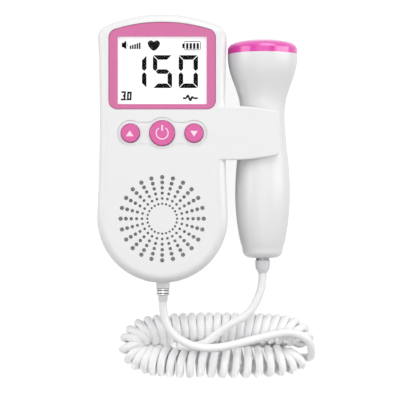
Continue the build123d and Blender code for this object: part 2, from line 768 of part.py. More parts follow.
with BuildPart() as speaker_frame:
    with BuildSketch(speaker_section):
        basket_profile = [
            (speaker_bore - basket_wall, speaker_flange_bottom - 0.4),
            (basket_floor_radius, basket_bottom + basket_wall),
            (dust_cap_radius + 1.5, basket_bottom + basket_wall),
            (dust_cap_radius + 1.5, basket_bottom),
            (basket_floor_radius + basket_wall, basket_bottom),
            (speaker_bore, speaker_flange_bottom),
            (speaker_radius, speaker_flange_bottom),
            (speaker_radius, gasket_bottom),
            (speaker_bore - basket_wall, gasket_bottom),
        ]
        with BuildLine():
            Polyline(*basket_profile, close=True)
        make_face()
    revolve(axis=speaker_axis)
    with BuildSketch(speaker_plane.offset(basket_bottom + 2.5)):
        with PolarLocations((speaker_bore + basket_floor_radius) / 2, 4, start_angle=45):
            Rectangle(8.0, 9.0)
    extrude(amount=basket_depth - 5.5, mode=Mode.SUBTRACT)

cone_rim = speaker_bore - basket_wall - 0.1
cone_front = gasket_bottom - 0.3
cone_root = speaker_flange_bottom - 5.0
with BuildPart() as speaker_cone:
    with BuildSketch(speaker_section):
        with BuildLine():
            Polyline(
                (dust_cap_radius, cone_root),
                (cone_rim - 1.0, cone_front),
                (cone_rim, cone_front),
                (cone_rim, cone_front - cone_thickness),
                (cone_rim - 1.0, cone_front - cone_thickness),
                (dust_cap_radius, cone_root - cone_thickness),
                (0, cone_root - cone_thickness),
                (0, cone_root + 1.6),
            )
            dome_arc(dust_cap_radius, cone_root + 1.6, 1.6)
        make_face()
    revolve(axis=speaker_axis)

with BuildPart() as speaker_magnet:
    with BuildSketch(speaker_plane.offset(basket_bottom - magnet_thickness)):
        Circle(magnet_radius)
    extrude(amount=magnet_thickness)
    chamfer(speaker_magnet.edges(), 0.6)
    with BuildSketch(speaker_plane.offset(basket_bottom)):
        Circle(dust_cap_radius)
    extrude(amount=4.0)

# --- Batteries and their door ---------------------------------------------------------------
cell_foot = spring_end + 0.2
cell_places = {"left": (-cell_pitch / 2, 1), "right": (cell_pitch / 2, -1)}
bay_top = bay_bottom + bay_length


def build_cell(cell_x, pointing):
    """An AA cell along Y; its positive end points up for 1 and down for -1."""
    middle = (bay_bottom + bay_top) / 2
    spring_side = pointing * (spring_length / 2 - cell_nub_length / 2)
    start = middle + spring_side - pointing * cell_length / 2
    section = Plane(origin=(cell_x, start, cell_axis), x_dir=(1, 0, 0), z_dir=(0, pointing, 0))
    with BuildPart() as cell:
        with BuildSketch(section):
            Circle(cell_radius)
        extrude(amount=cell_length)
        fillet(cell.edges(), 0.6)
        with BuildSketch(section.offset(cell_length)):
            Circle(cell_nub_radius)
        extrude(amount=cell_nub_length)
    return cell


cells = {name: build_cell(*place) for name, place in cell_places.items()}

with BuildPart() as battery_contacts:
    for end_y in (bay_bottom, bay_top - contact_thickness):
        with BuildSketch(Plane(origin=(0, end_y, cell_axis), x_dir=(1, 0, 0), z_dir=(0, 1, 0))):
            RectangleRounded(2 * cell_pitch - 3.0, 2 * cell_radius - 2.0, 1.0)
        extrude(amount=contact_thickness)

spring_height = spring_length - spring_wire - 0.2
with BuildPart() as battery_springs:
    for cell_x, pointing in cell_places.values():
        foot = (bay_bottom + bay_top) / 2 - pointing * (bay_length / 2 - contact_thickness)
        start = foot + pointing * (spring_wire / 2 + 0.05)
        with BuildLine() as spring_line:
            Helix(
                pitch=spring_height / spring_turns,
                height=spring_height,
                radius=spring_base_radius,
                center=(cell_x, start, cell_axis),
                direction=(0, pointing, 0),
                cone_angle=spring_cone_angle,
            )
        with BuildSketch(Plane(origin=spring_line.line @ 0, z_dir=spring_line.line % 0)):
            Circle(spring_wire / 2)
        sweep(path=spring_line.line, is_frenet=True)

with BuildPart() as battery_door:
    with BuildSketch(level_plane(door_recess)):
        with Locations((0, (door_bottom + unit_top + 2) / 2)):
            Rectangle(2 * door_half_width, unit_top + 2 - door_bottom)
    extrude(amount=wall + slide_gap - door_recess)
    with BuildSketch(level_plane(wall + slide_gap)):
        with Locations((0, (door_bottom + unit_top + 2) / 2)):
            Rectangle(2 * (door_half_width + door_rail), unit_top + 2 - door_bottom)
    extrude(amount=door_rail_thickness)
    with BuildSketch(level_plane(door_recess)):
        with Locations(*[(0, door_bottom + 6.0 + 3.0 * groove) for groove in range(door_grip_grooves)]):
            SlotOverall(16.0, 1.4)
    extrude(amount=0.5, mode=Mode.SUBTRACT)
    add(unit_form.part, mode=Mode.INTERSECT)

# --- Earphone jack on the left side ---------------------------------------------------------
with BuildPart() as earphone_jack:
    with BuildSketch(level_plane(pcb_front)):
        with Locations((jack_root - jack_size[0] / 2, jack_place)):
            Rectangle(jack_size[0], jack_size[1])
    extrude(amount=jack_size[2])
    chamfer(earphone_jack.edges().filter_by(Axis.X), jack_chamfer)
    with BuildSketch(jack_plane.offset(jack_size[0])):
        Circle(jack_nose_radius)
    extrude(amount=jack_nose_length)
    with BuildSketch(jack_plane.offset(wall)):
        Circle(jack_bore)
    extrude(amount=jack_size[0] + jack_nose_length, mode=Mode.SUBTRACT)

# --- Cord end at the main unit ----------------------------------------------------------------
plug_plane = Plane(origin=(0, -unit_top, plug_z), x_dir=(1, 0, 0), z_dir=(0, -1, 0))
socket_face = wall + 0.6
plug_depth = plug_body_length - collar_length - socket_face

with BuildPart() as port_collar:
    with BuildSketch(plug_plane.offset(-wall)):
        Circle(collar_radius)
        Circle(plug_body_radius + fit_gap, mode=Mode.SUBTRACT)
    extrude(amount=wall + collar_length)
    fillet(port_collar.faces().sort_by(Axis.Y)[0].outer_wire().edges(), 0.3)

with BuildPart() as probe_socket:
    with BuildSketch(level_plane(plug_z - socket_size[2] / 2)):
        with Locations((0, socket_middle)):
            Rectangle(socket_size[0], socket_size[1])
    extrude(amount=socket_size[2])
    chamfer(probe_socket.edges().filter_by(Axis.Y), 0.6)
    with BuildSketch(plug_plane.offset(-socket_face)):
        Circle(plug_body_radius + fit_gap)
    extrude(amount=-plug_depth - fit_gap, mode=Mode.SUBTRACT)
    with BuildSketch(plug_plane.offset(-socket_face)):
        Circle(plug_pin_radius + fit_gap)
    extrude(amount=-plug_depth - plug_pin_length - fit_gap, mode=Mode.SUBTRACT)

with BuildPart() as plug_ring:
    with BuildSketch(plug_plane.offset(collar_length)):
        Circle(plug_ring_radius)
    extrude(amount=plug_ring_length)
    chamfer(plug_ring.edges(), 0.25)
    for groove_start in (ring_groove_margin, plug_ring_length - ring_groove_margin - ring_groove_width):
        with BuildSketch(plug_plane.offset(collar_length + groove_start)):
            Circle(plug_ring_radius)
            Circle(plug_ring_radius - ring_groove_depth, mode=Mode.SUBTRACT)
        extrude(amount=ring_groove_width, mode=Mode.SUBTRACT)

with BuildPart() as plug_body:
    with BuildSketch(plug_plane.offset(collar_length - plug_body_length)):
        Circle(plug_body_radius)
    extrude(amount=plug_body_length)

with BuildPart() as plug_pin:
    with BuildSketch(plug_plane.offset(collar_length - plug_body_length)):
        Circle(plug_pin_radius)
    extrude(amount=-plug_pin_length)
    chamfer(plug_pin.faces().sort_by(Axis.Y)[-1].edges(), 0.9)

with BuildPart() as plug_boot:
    with BuildSketch(plug_plane.offset(collar_length + plug_ring_length)):
        Circle(cord_diameter / 2 + 0.45)
    extrude(amount=plug_boot_length, taper=4)

# --- Probe --------------------------------------------------------------------------------------
def probe_profile(inset, mouth):
    """Half the section of the probe's body, or of its hollow, whose mouth has the given radius."""
    heel_side = heel_radius + 3.6 - inset
    with BuildSketch(probe_plane) as profile:
        with BuildLine():
            Spline(
                (mouth, cap_seam),
                (head_radius - 1.6 - inset, cap_seam - 10.0),
                (neck_radius + neck_flare - inset, neck_height + 17.0),
                (neck_radius - inset, neck_height),
                (belly_radius - inset, belly_height),
                (heel_side + 1.0, probe_bottom + 6.5),
                (heel_side, probe_bottom + inset),
                tangents=[(0, -1), (-0.05, -1)],
            )
            Polyline(
                (heel_side, probe_bottom + inset), (0, probe_bottom + inset), (0, cap_seam), (mouth, cap_seam)
            )
        make_face()
        heel = profile.vertices().filter_by(lambda v: v.X > 1).sort_by(Axis.Y)[0]
        fillet(heel, heel_round - inset)
    return profile


probe_axis = Axis((probe_x, 0, probe_z), (0, 1, 0))
with BuildPart() as probe_form:
    add(probe_profile(0, head_radius - 0.1).sketch)
    revolve(axis=probe_axis)
with BuildPart() as probe_core:
    add(probe_profile(probe_wall, mouth_bore - 0.15).sketch)
    revolve(axis=probe_axis)
    with BuildSketch(Plane(origin=(probe_x, cap_seam, probe_z), x_dir=(1, 0, 0), z_dir=(0, -1, 0))):
        Circle(mouth_bore)
    extrude(amount=spigot_length + 0.3)

cord_hole = cord_diameter / 2 + 0.3
heel_plane = Plane(origin=(probe_x, probe_bottom, probe_z), x_dir=(1, 0, 0), z_dir=(0, -1, 0))
with BuildPart() as probe_shell_front:
    add(probe_form.part)
    add(probe_core.part, mode=Mode.SUBTRACT)
    with BuildSketch(heel_plane.offset(-2 * probe_wall)):
        Circle(cord_hole)
    extrude(amount=3 * probe_wall, mode=Mode.SUBTRACT)
    with BuildSketch(level_plane(probe_z)):
        Rectangle(reach, reach)
    extrude(amount=reach, mode=Mode.INTERSECT)

rib_places = (probe_pcb_middle + 18.0, probe_pcb_middle - 18.0)
board_rear = probe_z - probe_pcb_size[2] / 2
with BuildPart() as board_ribs:
    with BuildSketch(level_plane(probe_z - head_radius)):
        with Locations(*[(probe_x, rib_y) for rib_y in rib_places]):
            Rectangle(2 * head_radius, 1.2)
    extrude(amount=board_rear - probe_z + head_radius)
    add(probe_core.part, mode=Mode.INTERSECT)

with BuildPart() as probe_shell_rear:
    add(probe_form.part)
    add(probe_core.part, mode=Mode.SUBTRACT)
    with BuildSketch(heel_plane.offset(-2 * probe_wall)):
        Circle(cord_hole)
    extrude(amount=3 * probe_wall, mode=Mode.SUBTRACT)
    with BuildSketch(level_plane(probe_z)):
        Rectangle(reach, reach)
    extrude(amount=-reach, mode=Mode.INTERSECT)
    add(board_ribs.part)

# The cap: a cup with a low crown, whose spigot sits in the mouth of the body.
cap_floor = probe_top - 3.2
cap_bore = head_radius - probe_wall - 1.6
spigot_radius = mouth_bore - 0.1
cap_radius = head_radius - 0.1
cap_edge = probe_top - cap_crown_drop
cap_shoulder = cap_radius - cap_round
seal_top = cap_seam - spigot_length / 2 + seal_wire / 2 + 0.1
seal_bed = spigot_radius - 0.5
with BuildPart() as transducer_cap:
    with BuildSketch(probe_plane):
        with BuildLine():
            Polyline(
                (0, probe_top),
                (0, cap_floor),
                (cap_bore, cap_floor),
                (cap_bore, cap_seam - spigot_length),
                (spigot_radius, cap_seam - spigot_length),
                (spigot_radius, seal_top - seal_wire - 0.2),
                (seal_bed, seal_top - seal_wire - 0.2),
                (seal_bed, seal_top),
                (spigot_radius, seal_top),
                (spigot_radius, cap_seam),
                (cap_radius, cap_seam),
                (cap_radius, cap_edge - cap_round),
            )
            crown = dome_arc(cap_shoulder, probe_top, cap_crown_drop)
            TangentArc(crown @ 1, (cap_radius, cap_edge - cap_round), tangent=crown % 1)
        make_face()
    revolve(axis=probe_axis)

with BuildPart() as cap_seal:
    with BuildSketch(probe_plane):
        with Locations((seal_bed + 0.3, seal_top - seal_wire / 2 - 0.1)):
            RectangleRounded(0.57, seal_wire, 0.2)
    revolve(axis=probe_axis)

cap_plane = Plane(origin=(probe_x, cap_floor, probe_z), x_dir=(1, 0, 0), z_dir=(0, -1, 0))
with BuildPart() as piezo_crystals:
    with BuildSketch(cap_plane):
        Circle(crystal_radius)
        Rectangle(crystal_slit, 2 * crystal_radius, mode=Mode.SUBTRACT)
    extrude(amount=crystal_thickness)

with BuildPart() as crystal_backing:
    with BuildSketch(cap_plane.offset(crystal_thickness)):
        Circle(cap_bore - 0.1)
    extrude(amount=backing_thickness)

with BuildPart() as probe_pcb:
    with BuildSketch(level_plane(board_rear)):
        with Locations((probe_x, probe_pcb_middle)):
            Rectangle(probe_pcb_size[0], probe_pcb_size[1])
    extrude(amount=probe_pcb_size[2])

# The ring outside the heel, and the boot that runs through it into the probe.
with BuildPart() as probe_gland:
    with BuildSketch(heel_plane):
        Circle(gland_radius)
        Circle(cord_diameter / 2 + 0.25, mode=Mode.SUBTRACT)
    extrude(amount=gland_length)

boot_neck = cord_diameter / 2 + 0.2
boot_end = probe_bottom - gland_length - probe_boot_length
with BuildPart() as probe_boot:
    with BuildSketch(probe_plane) as boot_profile:
        with BuildLine():
            Polyline(
                (0, boot_end),
                (boot_neck + 0.1, boot_end),
                (probe_boot_radius - 0.2, boot_end + 2.2),
                (probe_boot_radius, probe_bottom - gland_length),
                (boot_neck, probe_bottom - gland_length),
                (boot_neck, probe_bottom + probe_wall + 0.1),
                (boot_neck + 1.2, probe_bottom + probe_wall + 0.1),
                (boot_neck + 1.2, probe_bottom + probe_wall + 1.5),
                (0, probe_bottom + probe_wall + 1.5),
                close=True,
            )
        make_face()
    revolve(axis=probe_axis)

# --- Cord ---------------------------------------------------------------------------------------
plug_end = -unit_top - collar_length - plug_ring_length - plug_boot_length
floor = cord_diameter / 2 + 0.05
slot = coil_middle[1]

# From the plug over the loop's rear row, along its slot and down over its right-hand end.
lead_unit_route = [
    (0.0, plug_end, plug_z),
    (0.0, plug_end - 5.5, plug_z),
    (2.2, -91.5, 20.6),
    (8.6, -98.2, 20.0),
    (18.0, -101.9, 19.6),
    (28.5, -102.2, 19.4),
    (40.5, -99.4, 18.8),
    (53.0, -96.2, 18.2),
    (64.5, -93.8, 18.2),
    (72.6, -96.0, 17.6),
    (77.2, -101.6, 14.6),
    (77.6, -107.0, 10.0),
]
# From the probe over the rear row into the slot, down in one more curl, and along the table.
lead_probe_route = [
    (probe_x, boot_end, probe_z),
    (probe_x, boot_end - 6.0, probe_z),
    (48.6, -77.5, 19.0),
    (43.6, -85.2, 19.4),
    (34.6, -89.8, 19.2),
    (27.0, -95.4, 18.0),
    (20.5, -101.4, 14.2),
    (8.6, slot, 14.4),
    (8.2, slot, floor),
    (20.0, slot - 0.4, floor),
    (34.0, slot + 0.5, floor),
    (49.0, slot - 0.3, floor),
    (62.0, slot + 0.2, floor),
    (67.5, slot + 2.2, floor),
]


def route_radii(route):
    """The largest tangent arcs that a route's runs leave room for."""
    radii = []
    for before, point, after in zip(route, route[1:], route[2:]):
        run_in = Vector(*point) - Vector(*before)
        run_out = Vector(*after) - Vector(*point)
        half_turn = radians(run_in.get_angle(run_out)) / 2
        radii.append(0.45 * min(run_in.length, run_out.length) / tan(half_turn))
    return radii


def build_lead(route, name):
    """A cord's tube along straight runs that tangent arcs join."""
    radii = route_radii(route)
    print(name, "radii", [round(radius, 1) for radius in radii])
    with BuildPart() as lead:
        with BuildLine():
            path = FilletPolyline(*route, radius=radii)
        with BuildSketch(Plane(origin=path @ 0, z_dir=path % 0)):
            Circle(cord_diameter / 2)
        sweep(path=path)
    filled = pi * (cord_diameter / 2) ** 2 * path.length
    print(name, "length", round(path.length, 1))
    print(name, "volume", round(lead.part.volume, 1), "section times length", round(filled, 1))
    return lead


lead_unit = build_lead(lead_unit_route, "lead_unit")
lead_probe = build_lead(lead_probe_route, "lead_probe")

# The curly cord, as a fat tube round its loop, clockwise from the start angle to the end angle.
right_bend = (coil_middle[0] + coil_half_run, coil_middle[1])
left_bend = (coil_middle[0] - coil_half_run, coil_middle[1])
with BuildPart() as cord_coil:
    with BuildLine(level_plane(coil_diameter / 2)) as coil_path:
        CenterArc(right_bend, coil_bend, -coil_start_angle, coil_start_angle - 90)
        Line(coil_path.line @ 1, (left_bend[0], left_bend[1] - coil_bend))
        CenterArc(left_bend, coil_bend, -90, -180)
        Line((left_bend[0], left_bend[1] + coil_bend), (right_bend[0], right_bend[1] + coil_bend))
        CenterArc(right_bend, coil_bend, 90, coil_end_angle - 90)
    with BuildSketch(Plane(origin=coil_path.line @ 0, z_dir=coil_path.line % 0)):
        Circle(coil_diameter / 2)
    sweep(path=coil_path.line)

# --- Output ---------------------------------------------------------------------------------------
pieces = {
    "front_shell": front_shell,
    "rear_shell": rear_shell,
    "case_screws": case_screws,
    "bezel": bezel,
    "lcd_window": lcd_window,
    "lcd_panel": lcd_panel,
    "lcd_backlight": lcd_backlight,
    "lcd_frame": lcd_frame,
    "lcd_connectors": lcd_connectors,
    "main_pcb": main_pcb,
    "pcb_screws": pcb_screws,
    "controller_chip": controller_chip,
    "amplifier_chips": amplifier_chips,
    "capacitors": capacitors,
    "tact_switches": tact_switches,
    "power_button": keys["power"],
    "up_button": keys["up"],
    "down_button": keys["down"],
    "power_plunger": plungers["power"],
    "up_plunger": plungers["up"],
    "down_plunger": plungers["down"],
    "grille_screen": grille_screen,
    "speaker_gasket": speaker_gasket,
    "speaker_frame": speaker_frame,
    "speaker_cone": speaker_cone,
    "speaker_magnet": speaker_magnet,
    "battery_left": cells["left"],
    "battery_right": cells["right"],
    "battery_contacts": battery_contacts,
    "battery_springs": battery_springs,
    "battery_door": battery_door,
    "earphone_jack": earphone_jack,
    "port_collar": port_collar,
    "probe_socket": probe_socket,
    "plug_ring": plug_ring,
    "plug_body": plug_body,
    "plug_pin": plug_pin,
    "plug_boot": plug_boot,
    "probe_shell_front": probe_shell_front,
    "probe_shell_rear": probe_shell_rear,
    "transducer_cap": transducer_cap,
    "cap_seal": cap_seal,
    "piezo_crystals": piezo_crystals,
    "crystal_backing": crystal_backing,
    "probe_pcb": probe_pcb,
    "probe_gland": probe_gland,
    "probe_boot": probe_boot,
    "lead_unit": lead_unit,
    "lead_probe": lead_probe,
    "cord_coil": cord_coil,
}
for label, piece in pieces.items():
    piece.part.label = label
    export_step(piece.part, f"parts/{label}.step")
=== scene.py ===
"""Fetal doppler monitor: its looks and its cord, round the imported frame.

Places and sizes of the object are in mm in the shared frame, and MM turns them into Blender's metres.
"""

import math

import bmesh
import bpy
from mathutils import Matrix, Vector


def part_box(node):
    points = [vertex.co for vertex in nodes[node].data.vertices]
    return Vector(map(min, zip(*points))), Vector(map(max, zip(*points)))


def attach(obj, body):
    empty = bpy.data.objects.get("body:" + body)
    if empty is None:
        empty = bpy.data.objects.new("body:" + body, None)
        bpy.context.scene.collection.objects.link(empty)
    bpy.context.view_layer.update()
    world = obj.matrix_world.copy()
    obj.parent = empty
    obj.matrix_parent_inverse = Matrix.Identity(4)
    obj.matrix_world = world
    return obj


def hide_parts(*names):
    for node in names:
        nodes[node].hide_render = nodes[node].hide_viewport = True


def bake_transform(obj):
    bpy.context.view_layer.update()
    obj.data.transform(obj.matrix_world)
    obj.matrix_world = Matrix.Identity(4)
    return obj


MM = 0.001
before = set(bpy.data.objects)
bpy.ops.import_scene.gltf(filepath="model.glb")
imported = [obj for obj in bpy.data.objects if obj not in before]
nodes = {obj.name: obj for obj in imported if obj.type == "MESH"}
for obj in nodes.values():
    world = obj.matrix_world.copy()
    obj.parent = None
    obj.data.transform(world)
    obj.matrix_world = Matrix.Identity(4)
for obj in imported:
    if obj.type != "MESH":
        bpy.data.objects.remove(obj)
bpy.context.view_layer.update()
scene = bpy.context.scene


def low_and_high(name):
    """The lowest and the highest corner of a CAD node's box, in mm."""
    low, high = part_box(name)
    return low / MM, high / MM


def middle_of(name):
    low, high = low_and_high(name)
    return (low + high) / 2


def link_object(name, data):
    """A new object that holds a mesh, curve, lamp or camera."""
    obj = bpy.data.objects.new(name, data)
    scene.collection.objects.link(obj)
    return obj


# --- camera: straight down on the unit, which lies on its back --------------------------------
CAMERA_PLACE = (19.0, -26.0, 702.0)
SENSOR_WIDTH = 36.0
FOCAL_LENGTH = 119.5
NEAREST = 0.01                   # of the camera's range, in metres

camera_data = bpy.data.cameras.new("camera")
camera_data.sensor_width = SENSOR_WIDTH
camera_data.lens = FOCAL_LENGTH
camera_data.clip_start = NEAREST
camera = link_object("camera", camera_data)
camera.location = Vector(CAMERA_PLACE) * MM
scene.camera = camera


# --- routes and tubes --------------------------------------------------------------------------
def nurbs(name, points, resolution):
    """A NURBS curve of order 3 through mm control points."""
    curve = bpy.data.curves.new(name, "CURVE")
    curve.dimensions = "3D"
    curve.resolution_u = resolution
    spline = curve.splines.new("NURBS")
    spline.points.add(len(points) - 1)
    for target, point in zip(spline.points, points):
        target.co = (*(value * MM for value in point), 1.0)
    spline.order_u = 3
    spline.use_endpoint_u = True
    return link_object(name, curve)


def read_points(name, points, resolution):
    """Points in metres along the NURBS of a route, in order."""
    obj = nurbs(name, points, resolution)
    bpy.context.view_layer.update()
    mesh = bpy.data.meshes.new_from_object(obj)
    found = [vertex.co.copy() for vertex in mesh.vertices]
    bpy.data.objects.remove(obj)
    return found


def tube(name, path, radius, sides):
    """A mesh tube along points in metres, whose rings turn as little as they can."""
    bm = bmesh.new()
    last = len(path) - 1
    tangents = [(path[min(i + 1, last)] - path[max(i - 1, 0)]).normalized() for i in range(len(path))]
    side = tangents[0].orthogonal().normalized()
    rings = []
    for point, tangent in zip(path, tangents):
        side = (side - tangent * side.dot(tangent)).normalized()
        up = tangent.cross(side)
        rings.append([
            bm.verts.new(point + (side * math.cos(a) + up * math.sin(a)) * radius)
            for a in (2 * math.pi * k / sides for k in range(sides))
        ])
    for first, second in zip(rings, rings[1:]):
        for k in range(sides):
            n = (k + 1) % sides
            bm.faces.new((first[k], first[n], second[n], second[k]))
    bm.faces.new(list(reversed(rings[0])))
    bm.faces.new(rings[-1])
    bmesh.ops.recalc_face_normals(bm, faces=bm.faces)
    mesh = bpy.data.meshes.new(name)
    bm.to_mesh(mesh)
    bm.free()
    # round sides and flat end faces, so that no crease shows where two tubes meet
    mesh.polygons.foreach_set("use_smooth", [True] * (len(mesh.polygons) - 2) + [False] * 2)
    return link_object(name, mesh)


# --- the two straight leads --------------------------------------------------------------------
CORD = 4.2                       # diameter
LEAD_DETAIL, LEAD_SIDES = 10, 20
PLUG_END = (0.0, -77.9, 20.8)
PROBE_END = (51.2, -63.3, 18.8)
LEAD_UNIT = [
    PLUG_END, (0.0, -83.4, 20.8), (2.2, -91.5, 20.6), (8.6, -98.2, 20.0), (18.0, -101.9, 19.6),
    (28.5, -102.2, 19.4), (40.5, -99.4, 18.8), (53.0, -96.2, 18.2), (64.5, -93.8, 18.2),
    (72.6, -96.0, 17.6), (77.0, -101.2, 14.6), (76.9, -106.4, 10.4),
]
LEAD_PROBE = [
    PROBE_END, (51.2, -69.3, 18.8), (48.6, -77.5, 19.0), (43.6, -85.2, 19.4), (34.6, -89.8, 19.2),
    (27.0, -95.4, 18.0), (20.5, -101.4, 14.2), (8.6, -102.15, 14.4), (8.2, -102.15, 2.15),
    (20.0, -101.75, 2.15), (34.0, -101.35, 2.15), (49.0, -101.75, 2.15), (62.0, -101.55, 2.15),
    (67.5, -99.95, 2.15),
]

lead_unit_path = read_points("lead_unit_route", LEAD_UNIT, LEAD_DETAIL)
lead_probe_path = read_points("lead_probe_route", LEAD_PROBE, LEAD_DETAIL)
lead_unit = tube("cord_from_unit", lead_unit_path, CORD / 2 * MM, LEAD_SIDES)
lead_probe = tube("cord_from_probe", lead_probe_path, CORD / 2 * MM, LEAD_SIDES)


# --- the curly cord: a left-handed helix round the axis of its loop ----------------------------
# the axis, clockwise from the right-hand bend: the front row, the left-hand bend and the back row
COIL_AXIS = [
    (71.8, -102.5, 7.5), (71.2, -106.2, 7.5), (67.6, -109.4, 7.5), (60.5, -111.0, 7.5),
    (45.0, -112.0, 7.5), (28.0, -112.05, 7.5), (11.0, -112.0, 7.5), (-5.0, -111.0, 7.5),
    (-12.6, -109.0, 7.5), (-17.4, -102.15, 7.5), (-12.6, -95.3, 7.5), (-5.0, -93.3, 7.5),
    (11.0, -92.2, 7.5), (28.0, -92.0, 7.5), (45.0, -92.2, 7.5), (60.5, -93.0, 7.5),
    (67.4, -94.2, 7.5), (71.0, -97.2, 7.5), (71.8, -100.5, 7.5),
]
AXIS_DETAIL, COIL_DETAIL, COIL_SIDES = 24, 3, 14
TURNS = 43                       # whole ones; the phases add a part of one
START_PHASE, END_PHASE = math.radians(38), math.radians(190)
STEPS = 14                       # control points of each turn
TURN_RADIUS = 5.35
CONTROL_RADIUS = TURN_RADIUS / math.cos(math.pi / STEPS)    # the curve runs inside its points
TURN_HEIGHT = 7.55               # of the turns' centres over the table
SLOT_Y = -102.15                 # the middle of the loop, between its two rows
ROW_REACH = 9.8                  # from there to a row's axis
BEND_LEFT, BEND_RIGHT = -6.35, 61.95
BEND_REACH = 5.0                 # over which a row turns into a bend
BEND_LIFT = 2.0                  # of the turns' inner sides in a bend, up and down in turn
TANGENT_REACH = 3                # points each way that give the axis's direction
# pitches: the front row's is widest right of the middle, and closer by the square of the distance
FRONT_PITCH, FRONT_WIDEST, FRONT_CLOSER = 6.0, 38.0, 0.00098
BACK_PITCH, BEND_PITCH = 4.42, 3.75
# how much wider than high the turns of a row lie, each way, and where the probe's lead dips
WIDER_FRONT, WIDER_BACK = 1.25, 0.65
DIP_X, DIP_REACH = 8.4, 3.2
# the turns stand upright at one place; a reach to the right of it their tops lean back along the
# axis by the first of these, and their outer sides forward by the others
UPRIGHT_X, LEAN_REACH = 34.5, 46.0
TOP_LEAN = 2.0
FRONT_RIGHT_LEAN, BACK_LEFT_LEAN, BACK_RIGHT_LEAN = -3.1, -2.3, 0.6
STRIDE = 0.05                    # along the axis, when the turns are counted
# the first control points give way to the lead's end and two points in line with it
GIVEN_WAY = 17
SEAM = [(76.885, -107.18, 9.77), (76.86, -108.42, 8.77)]
LAST_BIT = 1e-6                  # keeps a place on the axis short of its end

axis_path = read_points("coil_route", COIL_AXIS, AXIS_DETAIL)
along = [0.0]
for a, b in zip(axis_path, axis_path[1:]):
    along.append(along[-1] + (b - a).length / MM)


def axis_at(distance):
    """Place in metres, direction and outward normal at a distance in mm along the coil's axis."""
    distance = min(max(distance, 0.0), along[-1] - LAST_BIT)
    i = next(k for k in range(len(along) - 1) if along[k + 1] > distance)
    t = (distance - along[i]) / (along[i + 1] - along[i])
    place = axis_path[i].lerp(axis_path[i + 1], t)
    before = axis_path[max(i - TANGENT_REACH, 0)]
    after = axis_path[min(i + 1 + TANGENT_REACH, len(axis_path) - 1)]
    tangent = (after - before).normalized()
    outward = Vector((0, 0, 1)).cross(tangent).normalized()
    return place, tangent, outward


def bend_at(x):
    """0 in a row and 1 in a bend, with a slope between them."""
    past = max(BEND_LEFT - x, x - BEND_RIGHT, 0.0)
    return min(1.0, past / BEND_REACH)


def off_upright(x):
    """How far, in reaches, a place lies to the right of where the turns stand upright."""
    return (x - UPRIGHT_X) / LEAN_REACH


def pitch_at(x, y):
    row = BACK_PITCH
    if y < SLOT_Y:
        row = FRONT_PITCH - FRONT_CLOSER * (x - FRONT_WIDEST) ** 2
    return row + (BEND_PITCH - row) * bend_at(x)


def lean_at(x, y):
    """How far forward along the axis a turn's outer side leans: both rows fan out."""
    s = off_upright(x)
    back = min(max((y - SLOT_Y) / ROW_REACH, -1.0), 1.0) / 2 + 0.5
    front_lean = FRONT_RIGHT_LEAN * max(0.0, s)
    back_lean = BACK_LEFT_LEAN * max(0.0, -s) + BACK_RIGHT_LEAN * max(0.0, s)
    return front_lean + (back_lean - front_lean) * back


def wider_at(x, y):
    """How much wider than high a turn lies each way: less where the lead dips, and not in a bend."""
    row = WIDER_FRONT if y < SLOT_Y else WIDER_BACK
    beside_dip = 1 - math.exp(-(((x - DIP_X) / DIP_REACH) ** 2))
    return row * (1 - bend_at(x)) * beside_dip


def count_phases():
    """Distances along the axis, each with the phase that the pitches give there."""
    distance, phase = 0.0, START_PHASE
    marks = [(distance, phase)]
    while distance < along[-1]:
        place = axis_at(distance)[0]
        phase += 2 * math.pi * STRIDE / pitch_at(place.x / MM, place.y / MM)
        distance += STRIDE
        marks.append((distance, phase))
    return marks


def turn_point(distance, angle):
    """A control point in mm, at an angle outwards from the top of its turn."""
    place, tangent, outward = axis_at(distance)
    x, y = place.x / MM, place.y / MM
    wider = wider_at(x, y)
    spot = place / MM + outward * ((CONTROL_RADIUS + wider) * math.sin(angle) - wider)
    lean = lean_at(x, y) * math.sin(angle) - TOP_LEAN * off_upright(x) * math.cos(angle)
    spot += tangent * lean
    # in a bend the turns' inner sides lie above and below each other in turn, so that none cross
    turn = (angle - math.pi / 2) // (2 * math.pi)
    inner = max(0.0, -math.sin(angle)) ** 2 * bend_at(x)
    lift = BEND_LIFT * inner if turn % 2 else -BEND_LIFT * inner
    spot.z = TURN_HEIGHT + CONTROL_RADIUS * math.cos(angle) + lift
    return tuple(spot)


def helix_points():
    """Control points of the turns, with the pitches stretched so that the axis holds all turns."""
    marks = count_phases()
    whole = TURNS * 2 * math.pi + END_PHASE - START_PHASE
    stretch = whole / (marks[-1][1] - START_PHASE)
    count = int(whole / (2 * math.pi) * STEPS)
    points = []
    mark = 0
    for k in range(count + 1):
        turned = k * whole / count
        while mark < len(marks) - 1 and (marks[mark + 1][1] - START_PHASE) * stretch < turned:
            mark += 1
        points.append(turn_point(marks[mark][0], START_PHASE + turned))
    return points


coil_points = [LEAD_UNIT[-1]] + SEAM + helix_points()[GIVEN_WAY:] + [LEAD_PROBE[-1]]
coil_path = read_points("curly_cord_path", coil_points, COIL_DETAIL)
coil = tube("curly_cord", coil_path, CORD / 2 * MM, COIL_SIDES)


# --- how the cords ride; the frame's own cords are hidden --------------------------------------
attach(coil, "main_unit")
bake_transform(lead_unit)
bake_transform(lead_probe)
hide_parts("lead_unit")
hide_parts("lead_probe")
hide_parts("cord_coil")


# --- materials ---------------------------------------------------------------------------------
COAT_ROUGHNESS = 0.08
SCATTER_RADIUS = (1.0, 0.9, 0.85)    # of red, green and blue light
SCATTER_SCALE = 0.0015           # in metres
FINE_GRAIN, GRAIN_DETAIL = 900.0, 4.0
SLOW_DRIFT, DRIFT_DETAIL = 28.0, 3.0
DRIFT_LOW, DRIFT_HIGH = 0.3, 0.7
RELIEF_DEPTH = 0.0002            # in metres
SMOOTHEST = 0.02


